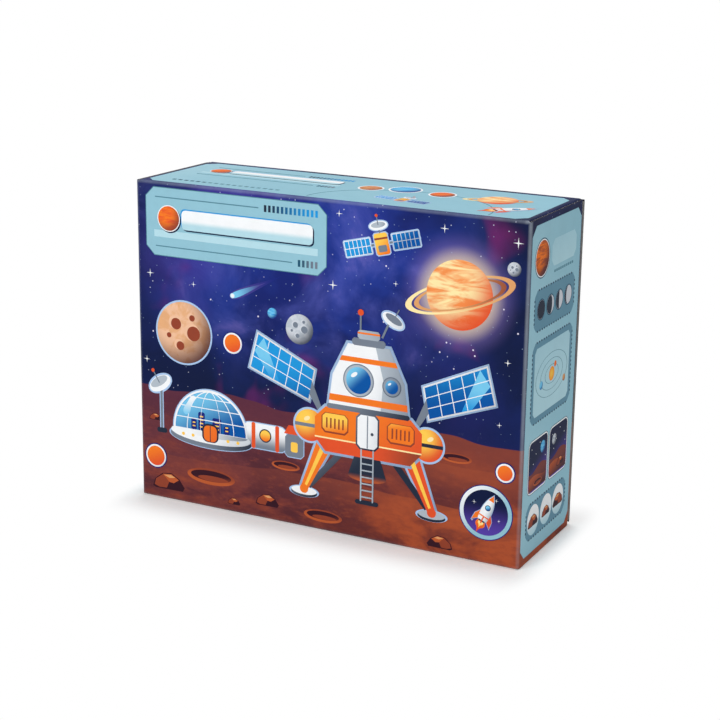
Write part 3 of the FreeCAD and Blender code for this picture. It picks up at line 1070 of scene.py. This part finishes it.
frontPictures = {
    'Sparkles': ((0, 0), 1, 0, 0, (drawSparkles, (0, 0), 0.5, (
        (-130, 158, 3), (-96, 154, 2), (8, 166, 3.4), (84, 210, 3), (132, 206, 3.6), (128, 132, 2.4),
        (12, 212, 2.4), (52, 172, 2), (-30, 116, 2.2), (-134, 98, 2.6), (124, 92, 2), (-50, 104, 2)))),
    'TitlePlate': ((-64.5, 193.5), 1, 0, 1, (drawTitle,)),
    'RingPlanet': (skyLook['halo'], 1, 0, 0, (drawRingPlanet, (0, 0), 1, 22), (drawMoon, (35, 20), 1, 4.4)),
    'Satellite': ((42, 196), 0.85, 14, 0, (drawSatellite,)),
    'Moon': (
        (-16, 134), 1, 0, 0, (drawMoon, (0, 0), 1, 10),
        (drawPlanet, (-20, 8), 1, 3.6, 'sky', 'cyan', 'deepBlue')),
    'BigMoon': ((-104, 120), 1, 0, 0, (drawMoon, (0, 0), 1, 21, 'peach', 'sand', 'plum', 'rust', 1.2)),
    'Comet': ((-66, 150), 0.9, 12, 0, (drawComet,)),
    'Ground': ((0, 0), 1, 0, 0, *ground(
        ((-84, 22, 16), (2, 10, 12), (-26, 40, 9), (96, 66, 9)),
        ((-118, 8, 13), (-40, 10, 9), (86, 5, 9), (-8, 64, 6), (-128, 56, 5), (-66, 6, 5)))),
    'Station': ((-84, 47), 0.86, 0, 3, (drawStation,)),
    'Lander': ((34, 22), 0.98, 0, 5, (drawLander,)),
    'RoundWindow': (
        (117, 34), 1, 0, 10,
        (drawWindow, (0, 0), 0, 15, ((-8, 6, 1.6), (7, 9, 1.3), (9, -4, 1.2), (-9, -6, 1)))),
    'Rocket': ((117, 34), 0.36, -24, 14, (drawRocket,)),
    'Badges': (
        (0, 0), 1, 0, 16, (drawBadge, (-128, 30), 0, 7), (drawBadge, (-66, 118), 0, 6),
        (drawBadge, (129, 62), 0, 5)),
}

endLook = {
    'size': (82.4, 210), 'middle': 110.4, 'offset': 1.3, 'lift': 4, 'badge': (-24, 84, 11),
    'panel': (13, 84), 'panelSize': (42, 17), 'ticks': (-2, 72), 'tick': (2.2, 1.6), 'pitch': 3.4,
}


def drawEndPlate(art, out):
    # a globe, a blank panel beside it and a row of ticks
    look = endLook
    # painted light: the plate is mixed towards its paler ink, half at the front fold and a fifth at the back
    drawPlate(art, look['size'], 'plate', ('plateLight', -out, 0, -96, 177))
    u, v, radius = look['badge']
    art.disc((u, v), radius + 1.4, 'deepTeal', 4)
    art.disc((u, v), radius + 0.7, 'white', 5)
    art.motif(drawPlanet, (u, v), 6, radius, 'orange', 'rust', 'plum')
    art.plate(look['panel'], look['panelSize'], fade('stripe', 'plateLight', 0, 1, 70, 96), 4, 4)
    art.row(look['ticks'], look['tick'], 'teal', (look['pitch'], 0), 10, 4)


def drawStone(art, size, flip):
    art.disc((0, 0), 10, fade('white', 'plateLight', 0, -1, -4, 12), 2)
    art.motif(drawRock, (0, -3.6), 3, size, flip)


endPanels = {   # height above the middle, and the motifs
    'EndPhases': (52, (drawBox, (0, 0), 0, (68, 26)), (drawPhases, (0, 0), 2, 6, 15.4)),
    'EndOrbits': (
        6, (drawBox, (0, 0), 0, (68, 52), fade('stripe', 'plateLight', 0, 1, -10, 30)),
        (drawOrbits, (0, 0), 3, 27)),
    'EndViews': (
        -48, (drawScene, (-17.5, 0), 0, (31, 33)), (drawScene, (17.5, 0), 0, (31, 33)),
        (drawPlanet, (-10, 9), 4, 4, 'sky', 'cyan', 'deepBlue'), (drawCrater, (-17, -12), 4, 6),
        (drawMoon, (10, 8), 4, 3.6), (drawRock, (22, -12), 4, 6)),
    'EndStones': (
        -84, (drawBox, (0, 0), 0, (68, 24)), (drawStone, (-22, 0), 0, 8.5, False),
        (drawStone, (0, 0), 0, 7, False), (drawStone, (21, 0), 0, 9, True)),
}


def endPictures(out):
    # the same print on both ends, in the middle of the panel between its folds
    u, v = -endLook['offset'] * out, endLook['middle']
    pictures = {'EndPlate': ((u, v), 1, 0, 0, (drawEndPlate, (0, 0), 0, out))}
    for name, (height, *motifs) in endPanels.items():
        pictures[name] = ((u, v + height), 1, 0, endLook['lift'], *motifs)
    return pictures


topLook = {
    'size': (268, 80), 'shade': ('plateLight', -1, 0.3, 40, 220), 'ticks': (-118, -30),
    'tick': (2.6, 2.6), 'pitch': 4.6, 'rows': (('teal', 18, 6), ('deepTeal', 6, 6.5)),
}


def drawTopPlate(art):
    drawPlate(art, topLook['size'], 'plate', topLook['shade'])
    for tint, count, layer in topLook['rows']:
        art.row(topLook['ticks'], topLook['tick'], tint, (topLook['pitch'], 0), count, layer)


def drawPath(art, radius):
    # line of an orbit that the planets stand on
    art.ring((0, 0), radius, 0.7, 'teal', 0, (1, 0.8), half='upper')


topPictures = {
    'Plate': ((0, -2.2), 1, 0, 0, (drawTopPlate,)),
    'TitlePlate': ((-66, 9), 0.86, 0, 6, (drawTitle, (0, 0), 0, False)),
    'Planets': (
        (0, 0), 1, 0, 6, (drawPath, (48, -40), 0.2, 62),
        (drawPlanet, (8, 6), 1, 7.5, 'sand', 'ember', 'rust', 1.2),
        (drawPlanet, (30, 12), 1, 10, 'sky', 'cyan', 'deepBlue', 1.2),
        (drawPlanet, (58, 8), 1, 8, 'orange', 'red', 'plum', 1.2), (drawRingPlanet, (96, 8), 1, 13)),
    'Satellite': ((44, -22), 0.62, -10, 6, (drawSatellite,)),
    'Rocket': ((114, -18), 0.48, -50, 8, (drawRocket,)),
}

backPictures = {
    'Plate': ((0, 146), 1, 0, 0, (drawPlate, (0, 0), 0, (262, 132))),
    'TitlePlate': ((-68, 186), 0.82, 0, 6, (drawTitle,)),
    'Views': (
        (0, 0), 1, 0, 6, *[(drawScene, (u, 126), 1, (44, 62)) for u in (-94, -43, 8)],
        (drawRingPlanet, (-94, 138), 5, 8), (drawMoon, (16, 142), 5, 6), (drawCrater, (4, 106), 5, 10)),
    'Rocket': ((-43, 126), 0.62, -18, 11, (drawRocket,)),
    'Orbits': (
        (80, 150), 1, 0, 6, (drawBox, (0, 0), 0, (84, 96), fade('navy', 'violet', 0.2, -1, -20, 60)),
        (drawSparkles, (0, 0), 3, (
            (-28, 34, 2), (24, 30, 1.6), (-20, -30, 1.6), (30, -34, 2.2), (0, 38, 1.4)))),
    'System': ((80, 150), 1.15, 20, 9, (drawOrbits, (0, 0), 1, 29)),
    'Ground': ((0, 0), 1, 0, 0, *ground(
        ((58, 12, 13), (98, 46, 10), (-14, 24, 9)),
        ((-118, 10, 11), (28, 8, 10), (74, 26, 8), (118, 12, 14), (-10, 50, 6)))),
    'Station': ((-62, 20), 0.72, 0, 4, (drawStation,)),
}

bottomPictures = {
    'Plate': ((0, 0), 1.2, 0, 1, (drawTitle,)),
    'Ground': ((0, 0), 1, 0, 0, *ground(
        ((-118, -22, 11), (116, 16, 12), (-112, 22, 7), (124, -26, 7)))),
}

printFace('front', frontPictures)
for side, out in endWays.items():
    printFace(side, endPictures(out))
printFace('top', topPictures)
printFace('back', backPictures)
printFace('bottom', bottomPictures)


studio = {
    'floorColour': (0.925, 0.95, 0.952), 'floorLift': 0.155, 'floorSize': 14.0,
    'shadowCutoff': (6, 44), 'shadowCutoffSideways': 2.6, 'worldStrength': 0.42,
    'azimuth': 26.36, 'elevation': 14.88, 'roll': 0.99,
    'place': (0.4854, -0.9332, 0.4020), 'lens': 82.35, 'shift': (-0.035, -0.035),
}

softboxes = {
    'topLight': {'place': (-0.1, 0.35, 2.3), 'size': 0.6, 'power': 14},
    'frontLight': {'place': (-0.7, -2.2, 1.1), 'size': 1.6, 'power': 31},
    'sideLight': {'place': (1.1, 0.1, 2.1), 'size': 0.8, 'power': 6},
}


def onlySeen(graph):
    # 1 for what the camera sees, straight or in a reflection
    outputs = graph.node('ShaderNodeLightPath').socket.node.outputs
    rays = ('Is Camera Ray', 'Is Glossy Ray', 'Is Transmission Ray')
    straight, glossy, through = [Value(graph, outputs[ray]) for ray in rays]
    return straight.top(glossy).top(through)


class WorldGraph(Graph):
    def __init__(self, world):
        world.use_nodes = True
        self.tree = world.node_tree


def buildFloor():
    bpy.ops.mesh.primitive_plane_add(size=studio['floorSize'])
    floor = bpy.context.object
    floor.name = 'floor'
    graph = Graph('floorPaper')
    matte = graph.node('ShaderNodeBsdfDiffuse', {'Color': studio['floorColour']})
    glow = graph.node('ShaderNodeEmission', {'Color': (1, 1, 1), 'Strength': studio['floorLift']})
    white = graph.node('ShaderNodeEmission', {'Color': (1, 1, 1), 'Strength': 1.0})
    lifted = graph.node('ShaderNodeAddShader', {0: matte, 1: glow})
    # painted light: from 6 to 44 mm outside the carton's footprint, closer in at the sides, the floor is
    # painted plain white, which cuts the cast shadow off to a narrow band
    across = (abs(graph.x) - halfWidth).top(0) * studio['shadowCutoffSideways']
    back = (abs(graph.y) - halfDepth).top(0)
    away = distance(across, back).rise(*studio['shadowCutoff'])
    seen = graph.node('ShaderNodeMixShader', {0: away, 1: lifted, 2: white})
    mixed = graph.node('ShaderNodeMixShader', {0: onlySeen(graph), 1: matte, 2: seen})
    graph.feed(graph.tree.nodes['Material Output'].inputs['Surface'], mixed)
    floor.data.materials.append(graph.material)


def buildWorld():
    world = bpy.data.worlds.new('studioWorld')
    bpy.context.scene.world = world
    graph = WorldGraph(world)
    dim, white = [
        graph.node('ShaderNodeBackground', {'Color': (1, 1, 1), 'Strength': strength})
        for strength in (studio['worldStrength'], 1.0)]
    mixed = graph.node('ShaderNodeMixShader', {0: onlySeen(graph), 1: dim, 2: white})
    graph.feed(graph.tree.nodes['World Output'].inputs['Surface'], mixed)


def addSoftbox(name, place, size, power):
    bpy.ops.object.light_add(type='AREA', location=place)
    lamp = bpy.context.object
    lamp.name = name
    lamp.data.size = size
    lamp.data.energy = power
    aim = Vector((0, 0, tall * mm / 2)) - Vector(place)
    lamp.rotation_euler = aim.to_track_quat('-Z', 'Y').to_euler()


def addCamera():
    bpy.ops.object.camera_add()
    camera = bpy.context.object
    turn = Matrix.Rotation(math.radians(studio['azimuth']), 4, 'Z')
    tilt = Matrix.Rotation(math.radians(90 - studio['elevation']), 4, 'X')
    roll = Matrix.Rotation(math.radians(studio['roll']), 4, 'Z')
    camera.matrix_world = Matrix.Translation(studio['place']) @ turn @ tilt @ roll
    camera.data.lens = studio['lens']
    camera.data.shift_x, camera.data.shift_y = studio['shift']
    bpy.context.scene.camera = camera


buildFloor()
buildWorld()
for name, box in softboxes.items():
    addSoftbox(name, **box)
addCamera()
bpy.context.scene.view_settings.view_transform = 'Standard'
print("studio ready")
